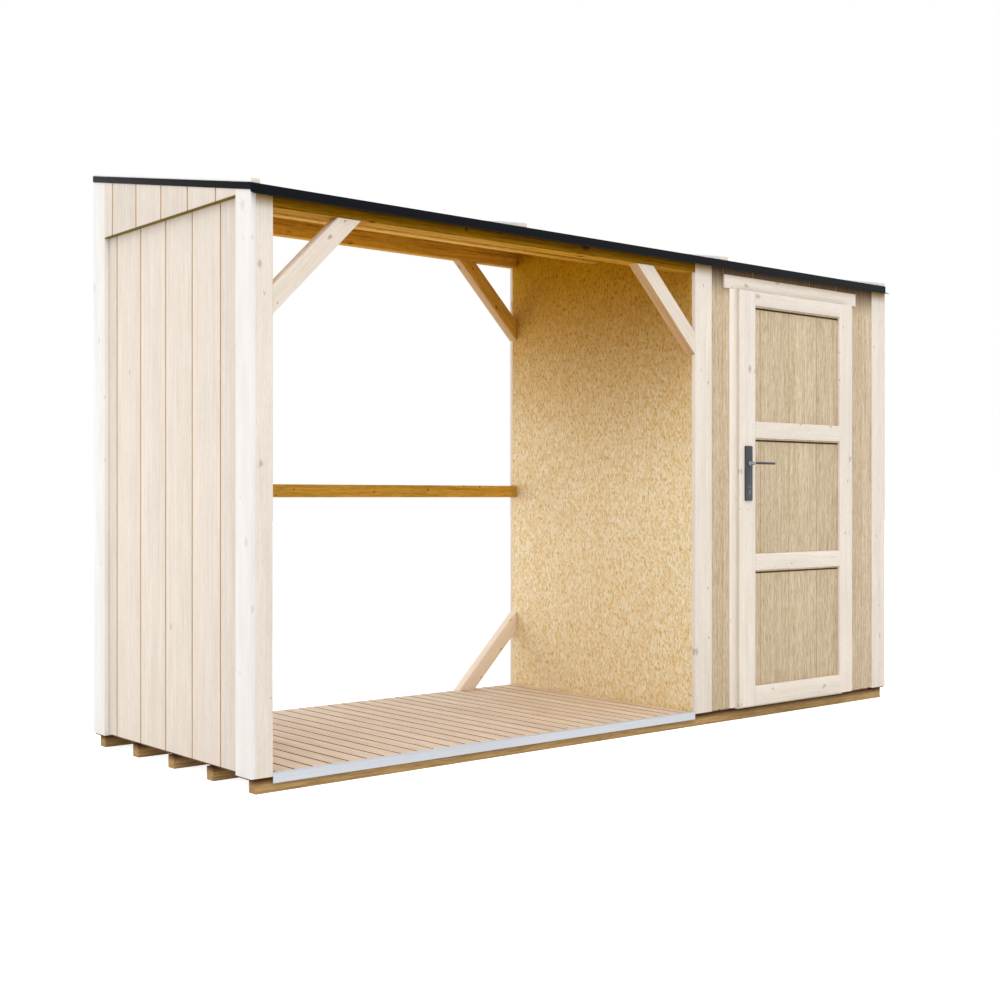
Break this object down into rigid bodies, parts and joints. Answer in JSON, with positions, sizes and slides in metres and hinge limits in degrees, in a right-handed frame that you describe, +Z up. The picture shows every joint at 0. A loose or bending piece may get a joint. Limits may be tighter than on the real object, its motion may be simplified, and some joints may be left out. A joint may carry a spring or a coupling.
{
  "type": "log store",
  "caption": "Lean-to timber log store with an open firewood bay beside a closed tool shed, boarded ends, a panelled door with a lever handle and a felt roof.",
  "frame": {"origin": "on the ground, on the middle bearer's underside, at the middle of the store's length and depth", "axes": "+X to the right along the front, the front faces -Y, +Z up"},
  "size_m": [3.164, 1.1905, 2.0161],
  "materials": {
    "planed_spruce": "planed, untreated, matt, with small knots",
    "frame_spruce": "planed, untreated, matt",
    "cladding_spruce": "tongue and groove boards, untreated, matt",
    "floor_pine": "planed boards, untreated, matt",
    "impregnated_pine": "pressure impregnated, sawn, matt",
    "strand_board": "oriented strand board, waxy, matt",
    "roof_felt": "mineral-faced roofing felt, rough",
    "drip_metal": "dark coated sheet, satin",
    "edge_metal": "mill finish angle, satin",
    "hinge_steel": "zinc plated",
    "handle_metal": "dark grey satin"
  },
  "bodies": {
    "root": {"back_beams": "frame_spruce", "back_drip_edge": "drip_metal", "back_left_lower_brace": "frame_spruce", "back_left_post": "planed_spruce", "back_left_upper_brace": "frame_spruce", "back_middle_post": "planed_spruce", "back_rail": "frame_spruce", "back_right_lower_brace": "frame_spruce", "back_right_post": "planed_spruce", "back_right_upper_brace": "frame_spruce", "bearers": "impregnated_pine", "door_casings": "planed_spruce", "door_lintel": "planed_spruce", "door_threshold": "planed_spruce", "floor_deck": "floor_pine", "floor_edge_strip": "edge_metal", "frame_hinges": "hinge_steel", "front_beams": "frame_spruce", "front_cladding_left": "cladding_spruce", "front_cladding_over_door": "cladding_spruce", "front_cladding_right": "cladding_spruce", "front_drip_edge": "drip_metal", "front_left_brace": "frame_spruce", "front_left_post": "planed_spruce", "front_middle_post": "planed_spruce", "front_right_brace": "frame_spruce", "front_right_post": "planed_spruce", "left_drip_edge": "drip_metal", "left_gable": "cladding_spruce", "left_wall_cladding": "cladding_spruce", "left_wall_rails": "frame_spruce", "partition_panel": "strand_board", "purlins": "frame_spruce", "right_drip_edge": "drip_metal", "right_gable": "cladding_spruce", "right_wall_cladding": "cladding_spruce", "right_wall_rails": "frame_spruce", "roof_battens": "frame_spruce", "roof_deck": "frame_spruce", "roofing_felt": "roof_felt", "shed_back_cladding": "cladding_spruce"},
    "door": {"door_hinge_stile": "planed_spruce", "door_hinges": "hinge_steel", "door_lock_stile": "planed_spruce", "door_planks": "cladding_spruce", "door_rails": "planed_spruce", "inner_handle_plate": "handle_metal", "outer_handle_plate": "handle_metal"},
    "lever": {"lever_set": "handle_metal"}
  },
  "joints": [
    {"name": "door_swing", "type": "hinge", "parent": "root", "child": "door", "pos_m": [1.307, -0.5665, 0.907], "axis": [0, 0, 1], "range_deg": [0, 120]},
    {"name": "lever_turn", "type": "hinge", "parent": "door", "child": "lever", "pos_m": [0.618, -0.56, 1.007], "axis": [0, 1, 0], "range_deg": [0, 40], "stiffness_Nm_per_rad": 1.2, "springref_deg": -28.65}
  ]
}
